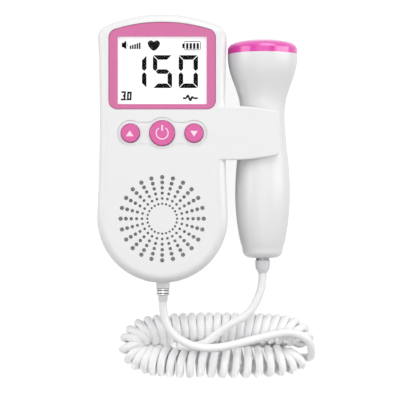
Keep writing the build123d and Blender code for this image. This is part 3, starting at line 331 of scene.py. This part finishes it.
def linear(red, green, blue):
    """A colour of 0 to 255 in linear light."""
    return tuple(
        value / 255 / 12.92 if value <= 10 else ((value / 255 + 0.055) / 1.055) ** 2.4
        for value in (red, green, blue)
    )


def add(tree, kind, values=None, operation=None):
    """A shader node of a kind, with values for some of its sockets."""
    made = tree.nodes.new("ShaderNode" + kind)
    if operation:
        made.operation = operation
    for socket, value in (values or {}).items():
        made.inputs[socket].default_value = value
    return made


def new_material(name):
    """An empty node material and its tree."""
    mat = bpy.data.materials.new(name)
    mat.use_nodes = True
    return mat, mat.node_tree


def bare_material(name):
    """A node material without a shader, its tree and the socket of its surface."""
    mat, tree = new_material(name)
    tree.nodes.remove(tree.nodes["Principled BSDF"])
    return mat, tree, tree.nodes["Material Output"].inputs["Surface"]


def mix_colours(tree, share, first, second):
    """A colour between two, each a socket or a plain colour, by a share of the second."""
    blend = add(tree, "Mix")
    blend.data_type = "RGBA"
    tree.links.new(share, blend.inputs[0])
    for socket, colour in ((blend.inputs[6], first), (blend.inputs[7], second)):
        if isinstance(colour, tuple):
            socket.default_value = (*colour, 1)
        else:
            tree.links.new(colour, socket)
    return blend.outputs[2]


def noise(tree, place, scale, detail):
    """The socket of a noise in the piece's own space."""
    made = add(tree, "TexNoise", {"Scale": scale, "Detail": detail})
    tree.links.new(place.outputs["Object"], made.inputs["Vector"])
    return made.outputs["Fac"]


def ranged(tree, source, values):
    """A socket's value moved from one range to another."""
    made = add(tree, "MapRange", values)
    tree.links.new(source, made.inputs["Value"])
    return made.outputs["Result"]


def drifting(tree, drift, colour, tint):
    """A colour that drifts slowly, a share darker and lighter."""
    ramp = add(tree, "ValToRGB")
    low, high = ramp.color_ramp.elements
    low.position, high.position = DRIFT_LOW, DRIFT_HIGH
    low.color = (*(c * (1 - tint) for c in colour), 1)
    high.color = (*(min(1.0, c * (1 + tint)) for c in colour), 1)
    tree.links.new(drift, ramp.inputs["Fac"])
    return ramp.outputs["Color"]


def painted_light_and_shade(tree, place, colour, turned):
    """Painted light and shade: another colour where the surface turns towards, or away from, one of its own
    axes.
    """
    axis, low, high, shade = turned
    split = add(tree, "SeparateXYZ")
    tree.links.new(place.outputs["Normal"], split.inputs["Vector"])
    share = ranged(tree, split.outputs[axis], {"From Min": low, "From Max": high})
    return mix_colours(tree, share, colour, shade)


def material(
    name, colour, rough=0.4, metal=0.0, coat=0.0, grain=0.02, grain_scale=FINE_GRAIN, bump=0.02,
    tint=0.03, sheen=0.0, specular=0.5, subsurface=0.0, turned=None,
):
    """A moulded, plated or rubbery surface: fine grain in height and gloss, slow drift in colour, and
    painted light and shade by the way it turns.
    """
    mat, tree = new_material(name)
    shader = tree.nodes["Principled BSDF"]
    plain = {
        "Metallic": metal, "Coat Weight": coat, "Coat Roughness": COAT_ROUGHNESS,
        "Sheen Weight": sheen, "Specular IOR Level": specular,
    }
    if subsurface:
        plain["Subsurface Weight"] = subsurface
        plain["Subsurface Radius"] = SCATTER_RADIUS
        plain["Subsurface Scale"] = SCATTER_SCALE
    for socket, value in plain.items():
        shader.inputs[socket].default_value = value
    place = add(tree, "TexCoord")
    fine = noise(tree, place, grain_scale, GRAIN_DETAIL)
    shade = drifting(tree, noise(tree, place, SLOW_DRIFT, DRIFT_DETAIL), colour, tint)
    # painted light and shade by the way the surface faces, where one is asked for
    if turned:
        shade = painted_light_and_shade(tree, place, shade, turned)
    tree.links.new(shade, shader.inputs["Base Color"])
    gloss = {"To Min": max(SMOOTHEST, rough - grain * 2), "To Max": rough + grain * 2}
    tree.links.new(ranged(tree, fine, gloss), shader.inputs["Roughness"])
    if bump:
        relief = add(tree, "Bump", {"Strength": bump, "Distance": RELIEF_DEPTH})
        tree.links.new(fine, relief.inputs["Height"])
        tree.links.new(relief.outputs["Normal"], shader.inputs["Normal"])
    return mat


# mouldings
white = material(
    "white_abs", linear(240, 240, 241), rough=0.34, coat=0.1, bump=0.03, tint=0.006, subsurface=0.05,
)
white_rear = material(
    "white_abs_back", linear(238, 238, 239), rough=0.5, bump=0.12, tint=0.008, grain_scale=2200,
)
probe_white = material(
    "probe_abs", linear(238, 238, 239), rough=0.34, coat=0.1, bump=0.01, tint=0.006, subsurface=0.05,
)
bezel_pink = material(
    "bezel_pink", linear(211, 100, 158), rough=0.32, coat=0.2, bump=0.01, tint=0.012,
)
key_pink = material(
    "key_pink", linear(221, 80, 160), rough=0.26, coat=0.25, bump=0.008, tint=0.012, subsurface=0.05,
    # painted shade: the keys darker where their sides turn away from the top face
    turned=("Z", 0.97, 0.55, linear(172, 58, 128)),
)
cap_pink = material(
    "cap_pink", linear(232, 50, 174), rough=0.18, coat=0.5, bump=0.005, tint=0.015, subsurface=0.08,
    # painted highlight: the cap lighter and paler where its crown faces along the probe
    turned=("Y", 0.25, 0.85, linear(230, 106, 190)),
)
milky = material("light_guide", linear(244, 244, 246), rough=0.35, bump=0.01, tint=0.01)
black = material("black_moulding", (0.02, 0.02, 0.022), rough=0.45, bump=0.05, tint=0.1)
sleeve = material("cell_sleeve", (0.07, 0.09, 0.13), rough=0.3, coat=0.3, bump=0.01, tint=0.05)
board = material("solder_mask", (0.01, 0.11, 0.045), rough=0.35, coat=0.3, bump=0.04, tint=0.2)

# soft and fibrous
cord_white = material(
    "cord_pvc", linear(251, 251, 252), rough=0.34, coat=0.15, bump=0.02, tint=0.01, subsurface=0.15,
)
soft_white = material("soft_pvc", linear(232, 232, 234), rough=0.42, bump=0.03, tint=0.01)
strip_rubber = material("connector_rubber", linear(190, 120, 150), rough=0.6, bump=0.05, tint=0.2)
foam = material("foam_rubber", (0.03, 0.03, 0.032), rough=0.8, bump=0.3, tint=0.1)
paper = material("cone_paper", (0.025, 0.025, 0.028), rough=0.75, bump=0.25, tint=0.15)
cloth = material(
    "screen_cloth", linear(172, 172, 174), rough=0.9, grain_scale=3200, bump=0.5, tint=0.1, sheen=0.1,
)

# metal and ceramic
ring_chrome = material("chrome_ring", (0.62, 0.62, 0.64), rough=0.2, metal=1.0, bump=0.0, tint=0.01)
# painted shade: a darker copy of the chrome for the gland, which lies in shade
dark_chrome = material("chrome_in_shade", (0.2, 0.2, 0.21), rough=0.25, metal=1.0, bump=0.0, tint=0.2)
steel = material("zinc_steel", (0.5, 0.51, 0.53), rough=0.3, metal=1.0, bump=0.05, tint=0.06)
brass = material("gold_pin", (0.78, 0.56, 0.2), rough=0.22, metal=1.0, bump=0.02, tint=0.05)
ceramic = material("piezo_ceramic", linear(205, 196, 168), rough=0.35, bump=0.03, tint=0.05)
backing = material("epoxy_backing", (0.03, 0.028, 0.03), rough=0.55, bump=0.1, tint=0.15)

# prints
ink = material("display_ink", linear(16, 16, 18), rough=0.9, bump=0.0, tint=0.1, specular=0.0)
faint_ink = material(
    "display_ink_faint", linear(120, 126, 126), rough=0.9, bump=0.0, tint=0.02, specular=0.0,
)
print_white = material("print_white", linear(255, 226, 242), rough=0.4, bump=0.0, tint=0.0)


# --- the display, an even pale light from behind, and the clear window over it -------------------
DISPLAY_LIGHT = 0.17
WINDOW_ROUGHNESS = 0.06
WINDOW_GLOSS, WINDOW_EDGE_GLOSS, WINDOW_EDGE_POWER = 0.004, 0.5, 4.0
EVEN_WEIGHT = 0.5                # of the layer weight, which then follows the angle evenly


def lit_display():
    mat = material("lcd_glass", linear(250, 251, 252), rough=0.3, bump=0.0, tint=0.004)
    shader = mat.node_tree.nodes["Principled BSDF"]
    shader.inputs["Emission Color"].default_value = (1, 1, 1, 1)
    shader.inputs["Emission Strength"].default_value = DISPLAY_LIGHT
    return mat


def clear_window():
    """Clear, with a gloss that rises towards grazing angles, the same on both sides of the pane."""
    mat, tree, surface = bare_material("window_clear")
    clear = add(tree, "BsdfTransparent")
    shine = add(tree, "BsdfGlossy", {"Roughness": WINDOW_ROUGHNESS})
    edge = add(tree, "LayerWeight", {"Blend": EVEN_WEIGHT})
    steep = add(tree, "Math", {1: WINDOW_EDGE_POWER}, operation="POWER")
    share = add(tree, "Math", {1: WINDOW_EDGE_GLOSS, 2: WINDOW_GLOSS}, operation="MULTIPLY_ADD")
    mix = add(tree, "MixShader")
    tree.links.new(edge.outputs["Facing"], steep.inputs[0])
    tree.links.new(steep.outputs["Value"], share.inputs[0])
    tree.links.new(share.outputs["Value"], mix.inputs["Fac"])
    tree.links.new(clear.outputs["BSDF"], mix.inputs[1])
    tree.links.new(shine.outputs["BSDF"], mix.inputs[2])
    tree.links.new(mix.outputs["Shader"], surface)
    return mat


# --- the plug's ring: painted shade in its turned grooves ----------------------------------------
GROOVE_FLOOR = 3.05              # radius
ABOVE_FLOOR, BELOW_CREST = 0.1, 0.05    # where the slope of the shade starts and ends
GROOVE_PAINTED_SHADE = (0.012, 0.012, 0.013)


def painted_shade_inside(mat, centre, low, high, shade):
    """Painted shade: another colour inside a radius of a line along Y through a centre, with a slope in
    between.
    """
    tree = mat.node_tree
    base = tree.nodes["Principled BSDF"].inputs["Base Color"]
    colour = base.links[0].from_socket
    place = add(tree, "TexCoord")
    offset = add(tree, "VectorMath", {1: (0, 0, centre.z * MM)}, operation="SUBTRACT")
    across = add(tree, "VectorMath", {1: (1, 0, 1)}, operation="MULTIPLY")
    radius = add(tree, "VectorMath", operation="LENGTH")
    tree.links.new(place.outputs["Object"], offset.inputs[0])
    tree.links.new(offset.outputs["Vector"], across.inputs[0])
    tree.links.new(across.outputs["Vector"], radius.inputs[0])
    share = ranged(tree, radius.outputs["Value"], {"From Min": low * MM, "From Max": high * MM})
    tree.links.new(mix_colours(tree, share, shade, colour), base)


ring_low, ring_high = low_and_high("plug_ring")
RING_RADIUS = (ring_high.x - ring_low.x) / 2
# painted shade in the ring's grooves
painted_shade_inside(
    ring_chrome, middle_of("plug_ring"), GROOVE_FLOOR + ABOVE_FLOOR, RING_RADIUS - BELOW_CREST,
    GROOVE_PAINTED_SHADE,
)


# --- which piece wears what --------------------------------------------------------------------
looks = (
    (white, ("front_shell",)),
    (white_rear, ("rear_shell", "battery_door")),
    (probe_white, ("probe_shell_front", "probe_shell_rear")),
    (bezel_pink, ("bezel",)),
    (key_pink, ("power_button", "up_button", "down_button")),
    (cap_pink, ("transducer_cap",)),
    (clear_window(), ("lcd_window",)),
    (lit_display(), ("lcd_panel",)),
    (milky, ("lcd_backlight",)),
    (soft_white, ("port_collar", "plug_boot", "probe_boot")),
    (ring_chrome, ("plug_ring",)),
    (dark_chrome, ("probe_gland",)),
    (brass, ("plug_pin",)),
    (steel, ("case_screws", "pcb_screws", "capacitors", "speaker_frame", "speaker_magnet")),
    (steel, ("battery_contacts", "battery_springs")),
    (black, ("lcd_frame", "controller_chip", "amplifier_chips", "tact_switches", "earphone_jack")),
    (black, ("power_plunger", "up_plunger", "down_plunger", "probe_socket", "plug_body")),
    (board, ("main_pcb", "probe_pcb")),
    (strip_rubber, ("lcd_connectors",)),
    (cloth, ("grille_screen",)),
    (foam, ("speaker_gasket", "cap_seal")),
    (paper, ("speaker_cone",)),
    (sleeve, ("battery_left", "battery_right")),
    (ceramic, ("piezo_crystals",)),
    (backing, ("crystal_backing",)),
)
for look, names in looks:
    for name in names:
        nodes[name].data.materials.clear()
        nodes[name].data.materials.append(look)
for piece in (lead_unit, lead_probe, coil):
    piece.data.materials.append(cord_white)


# --- printed marks: flat plates a hair thick -----------------------------------------------------
PRINT_GAP, PRINT_THICKNESS = 0.004, 0.03


def plate(name, outlines, centre, top, look, body):
    """One flat piece of closed outlines over a top, each a list of points in mm from a centre."""
    bm = bmesh.new()
    low_z, high_z = top + PRINT_GAP, top + PRINT_GAP + PRINT_THICKNESS
    for outline in outlines:
        places = [(centre.x + x, centre.y + y) for x, y in outline]
        low = [bm.verts.new((x * MM, y * MM, low_z * MM)) for x, y in places]
        high = [bm.verts.new((x * MM, y * MM, high_z * MM)) for x, y in places]
        bm.faces.new(list(reversed(low)))
        bm.faces.new(high)
        for k in range(len(low)):
            n = (k + 1) % len(low)
            bm.faces.new((low[k], low[n], high[n], high[k]))
    bmesh.ops.recalc_face_normals(bm, faces=bm.faces)
    mesh = bpy.data.meshes.new(name)
    bm.to_mesh(mesh)
    bm.free()
    mesh.materials.append(look)
    obj = link_object(name, mesh)
    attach(obj, body)


def bar(left, low, right, high):
    return [(left, low), (right, low), (right, high), (left, high)]


def stroke(start, end, width):
    """A straight bar of a width between two points."""
    (ax, ay), (bx, by) = start, end
    reach = width / 2 / math.hypot(bx - ax, by - ay)
    px, py = -(by - ay) * reach, (bx - ax) * reach
    return [(ax + px, ay + py), (bx + px, by + py), (bx - px, by - py), (ax - px, ay - py)]


def mirrored(outline, middle):
    """An outline mirrored left to right about a middle."""
    return [(2 * middle - x, y) for x, y in outline]


def flipped(outline, middle):
    """An outline mirrored top to bottom about a middle."""
    return [(x, 2 * middle - y) for x, y in outline]


# the seven bars of a digit: a is the top one, then clockwise to f, and g is the middle one
SEGMENTS = {"0": "abcdef", "1": "bc", "3": "abgcd", "5": "afgcd"}

# the marks on the display, in mm from its centre
READING = (("1", -17.67, -7.95), ("5", -4.73, 4.95), ("0", 8.27, 17.99))    # from left to right
DIGIT_LOW, DIGIT_TOP = -8.83, 7.69
DIGIT_STROKE, DIGIT_GAP = 2.267, 0.554
SMALL_STROKE = 0.88
SMALL_THREE = {"left": -20.39, "low": -14.62, "width": 1.36, "height": 3.72, "lean": 0.08}
SMALL_ZERO = {"left": -17.37, "low": -14.57, "width": 1.41, "height": 3.47, "lean": 0.05}
SMALL_POINT = bar(-18.53, -15.03, -17.92, -14.42)
SPEAKER = [
    bar(-20.39, 11.67, -19.33, 13.89),
    [(-19.79, 13.68), (-18.07, 15.10), (-18.07, 10.51), (-19.79, 11.87)],
    bar(-17.52, 11.97, -17.32, 13.68),
]
LEVELS, LEVEL_LEFT, LEVEL_PITCH, LEVEL_WIDTH = 5, -16.387, 1.159, 0.806
LEVEL_LOW, LEVEL_HIGH, LEVEL_RISE = 10.763, 12.526, 0.378
HEART_MIDDLE = -4.22
HEART_TOP, HEART_TIP = (0.0, 14.24), (0.0, 9.96)
HEART_SIDE = [
    (0.40, 14.74), (1.06, 15.10), (1.86, 15.10), (2.57, 14.74), (3.07, 14.04), (3.07, 13.18),
    (2.67, 12.22), (1.91, 11.17), (1.01, 10.31), (0.45, 10.01),
]
BATTERY_OUTLINE = [
    bar(11.24, 14.34, 19.10, 14.74), bar(11.24, 10.16, 19.10, 10.56),
    bar(19.10, 10.61, 19.50, 14.29), bar(11.04, 10.51, 11.34, 14.39),
]
BATTERY_TERMINAL = bar(10.13, 11.22, 11.19, 13.53)
CELLS, CELL_LEFT, CELL_PITCH, CELL_WIDTH = 4, 11.998, 1.763, 1.159
CELL_LOW, CELL_HIGH = 10.814, 13.735
PULSE_STROKE = 0.91
PULSE = [
    (10.44, -13.97), (12.05, -13.97), (12.90, -12.26), (14.11, -15.33), (15.07, -13.11),
    (15.73, -13.97), (17.89, -13.97),
]


def digit(character, left, right):
    """The mitred bars of a large seven-segment digit."""
    top, middle, across = DIGIT_TOP, (DIGIT_LOW + DIGIT_TOP) / 2, (left + right) / 2
    w, g, h = DIGIT_STROKE, DIGIT_GAP / 2, DIGIT_STROKE / 2
    bars = {
        "a": [(left + g, top), (right - g, top), (right - w - g, top - w), (left + w + g, top - w)],
        "g": [
            (left + h + g, middle), (left + w + g, middle + h), (right - w - g, middle + h),
            (right - h - g, middle), (right - w - g, middle - h), (left + w + g, middle - h),
        ],
        "f": [
            (left, top - g), (left + w, top - w - g), (left + w, middle + h + g),
            (left + h, middle + g), (left, middle + h + g),
        ],
    }
    bars["b"] = mirrored(bars["f"], across)
    for upper, lower in (("a", "d"), ("f", "e"), ("b", "c")):
        bars[lower] = flipped(bars[upper], middle)
    return [bars[name] for name in SEGMENTS[character]]


def small_digit(character, left, low, width, height, lean):
    """A small leaning digit of plain strokes; its sizes are those of the strokes' centre lines."""
    right, top, middle = left + width, low + height, low + height / 2
    over = SMALL_STROKE / 2
    lines = {
        "a": ((left - over, top), (right + over, top)), "b": ((right, top), (right, middle)),
        "c": ((right, middle), (right, low)), "d": ((left - over, low), (right + over, low)),
        "e": ((left, middle), (left, low)), "f": ((left, top), (left, middle)),
        "g": ((left + over, middle), (right, middle)),
    }
    leaning = [[(x + (y - low) * lean, y) for x, y in lines[name]] for name in SEGMENTS[character]]
    return [stroke(start, end, SMALL_STROKE) for start, end in leaning]


def row_of_bars(count, left, pitch, width, low, high, rise=0.0):
    """Upright bars side by side, each a rise higher than the last."""
    lefts = [left + pitch * k for k in range(count)]
    return [bar(x, low, x + width, high + rise * k) for k, x in enumerate(lefts)]


def heart():
    right = [HEART_TOP] + HEART_SIDE + [HEART_TIP]
    left = mirrored(reversed(HEART_SIDE), 0.0)
    return [(HEART_MIDDLE + x, y) for x, y in right + left]


display = middle_of("lcd_window")
display_top = low_and_high("lcd_panel")[1].z
levels = row_of_bars(
    LEVELS, LEVEL_LEFT, LEVEL_PITCH, LEVEL_WIDTH, LEVEL_LOW, LEVEL_HIGH, LEVEL_RISE,
)
cells = row_of_bars(CELLS, CELL_LEFT, CELL_PITCH, CELL_WIDTH, CELL_LOW, CELL_HIGH)
display_marks = (
    ("reading_digits", [outline for figure in READING for outline in digit(*figure)], ink),
    ("small_digits", small_digit("3", **SMALL_THREE) + [SMALL_POINT] + small_digit("0", **SMALL_ZERO), ink),
    ("volume_icon", SPEAKER + levels, ink),
    ("heart_icon", [heart()], ink),
    ("battery_outline", BATTERY_OUTLINE, faint_ink),
    ("battery_bars", [BATTERY_TERMINAL] + cells, ink),
    ("pulse_icon", [stroke(start, end, PULSE_STROKE) for start, end in zip(PULSE, PULSE[1:])], ink),
)
for name, outlines, look in display_marks:
    plate(name, outlines, display, display_top, look, "main_unit")

# the marks on the keys, in mm from each key's centre
POWER_RADIUS, POWER_STROKE, POWER_PARTS = 3.0, 0.56, 40
POWER_OPEN = math.radians(34)    # of the ring, each way from its top
POWER_STEM = bar(-0.42, 1.2, 0.42, 4.05)
UP_MARK = [(-2.2, -1.6), (1.7, -1.6), (-0.25, 1.3)]
DOWN_MARK = [(-1.9, 1.1), (0.0, -1.8), (1.9, 1.1)]


def arc_point(radius, part):
    """A point of the power mark's ring, which is open at the top."""
    angle = math.pi / 2 + POWER_OPEN + (2 * math.pi - 2 * POWER_OPEN) * part / POWER_PARTS
    return radius * math.cos(angle), radius * math.sin(angle)


def power_ring():
    outer, inner = POWER_RADIUS + POWER_STROKE / 2, POWER_RADIUS - POWER_STROKE / 2
    return [
        [arc_point(outer, k), arc_point(outer, k + 1), arc_point(inner, k + 1), arc_point(inner, k)]
        for k in range(POWER_PARTS)
    ]


for key, outlines in (("power", power_ring() + [POWER_STEM]), ("up", [UP_MARK]), ("down", [DOWN_MARK])):
    button = key + "_button"
    key_top = low_and_high(button)[1].z
    plate(key + "_mark", outlines, middle_of(button), key_top, print_white, key + "_key")


# --- floor and world -----------------------------------------------------------------------------
FLOOR_HALF, FLOOR_Z = 3.0, -0.0002    # in metres
FLOOR_SHADE = 0.32               # what the floor throws back of the lamps
FLOOR_GLOW = 0.88                # its white, as seen and mirrored
WORLD_LIGHT = 0.28


def seen_or_mirrored(tree):
    """1 for rays of the camera, of glossy surfaces and through clear ones, else 0."""
    rays = add(tree, "LightPath")
    share = rays.outputs["Is Camera Ray"]
    for kind in ("Is Glossy Ray", "Is Transmission Ray"):
        either = add(tree, "Math", operation="MAXIMUM")
        tree.links.new(share, either.inputs[0])
        tree.links.new(rays.outputs[kind], either.inputs[1])
        share = either.outputs["Value"]
    return share


def floor_white():
    """Plain grey for the light that it throws back, and an even white to look at."""
    mat, tree, surface = bare_material("floor_white")
    diffuse = add(tree, "BsdfDiffuse", {"Color": (FLOOR_SHADE, FLOOR_SHADE, FLOOR_SHADE, 1)})
    level = add(tree, "Math", {1: FLOOR_GLOW}, operation="MULTIPLY")
    glow = add(tree, "Emission")
    total = add(tree, "AddShader")
    tree.links.new(seen_or_mirrored(tree), level.inputs[0])
    tree.links.new(level.outputs["Value"], glow.inputs["Strength"])
    tree.links.new(diffuse.outputs["BSDF"], total.inputs[0])
    tree.links.new(glow.outputs["Emission"], total.inputs[1])
    tree.links.new(total.outputs["Shader"], surface)
    return mat


corners = [(x * FLOOR_HALF, y * FLOOR_HALF, FLOOR_Z) for x, y in ((-1, -1), (1, -1), (1, 1), (-1, 1))]
floor_mesh = bpy.data.meshes.new("floor")
floor_mesh.from_pydata(corners, [], [(0, 1, 2, 3)])
floor_mesh.materials.append(floor_white())
floor = link_object("floor", floor_mesh)

world = bpy.data.worlds.new("studio")
scene.world = world
world.use_nodes = True
world_tree = world.node_tree
background = world_tree.nodes["Background"]
background.inputs["Color"].default_value = (1, 1, 1, 1)
strength = ranged(world_tree, seen_or_mirrored(world_tree), {"To Min": WORLD_LIGHT, "To Max": 1.0})
world_tree.links.new(strength, background.inputs["Strength"])


# --- lamps: places, targets and sizes in metres, power in watts ----------------------------------
WIDE_SPREAD, NARROW_SPREAD = 180, 10    # degrees
LAMPS = (
    ("key_lamp", (0.3, 1.1, 0.75), (0.02, -0.02, 0.0), (0.9, 0.6), 7.3, WIDE_SPREAD),
    ("top_lamp", (0.02, 0.0, 1.5), (0.02, -0.02, 0.0), (1.2, 1.2), 5.2, WIDE_SPREAD),
    ("right_strip", (0.85, 0.1, 0.35), (0.05, 0.0, 0.02), (0.25, 0.9), 2.9, WIDE_SPREAD),
    ("left_fill", (-0.9, 0.2, 0.4), (0.0, 0.0, 0.02), (0.5, 0.9), 4.1, WIDE_SPREAD),
    ("front_fill", (0.03, -0.75, 0.75), (0.03, -0.1, 0.01), (0.7, 0.3), 0.35, WIDE_SPREAD),
    ("coil_strip", (0.028, -0.372, 0.22), (0.028, -0.130, 0.008), (0.13, 0.02), 0.0065, NARROW_SPREAD),
)


def area_lamp(name, place, target, size, power, spread):
    """A soft rectangular lamp that points at a target, with the spread of its light in degrees."""
    lamp = bpy.data.lights.new(name, "AREA")
    lamp.shape = "RECTANGLE"
    lamp.size, lamp.size_y = size
    lamp.energy = power
    lamp.spread = math.radians(spread)
    obj = link_object(name, lamp)
    obj.location = place
    obj.rotation_euler = (Vector(target) - Vector(place)).to_track_quat("-Z", "Y").to_euler()


for settings in LAMPS:
    area_lamp(*settings)

scene.view_settings.view_transform = "Standard"

bpy.context.view_layer.update()
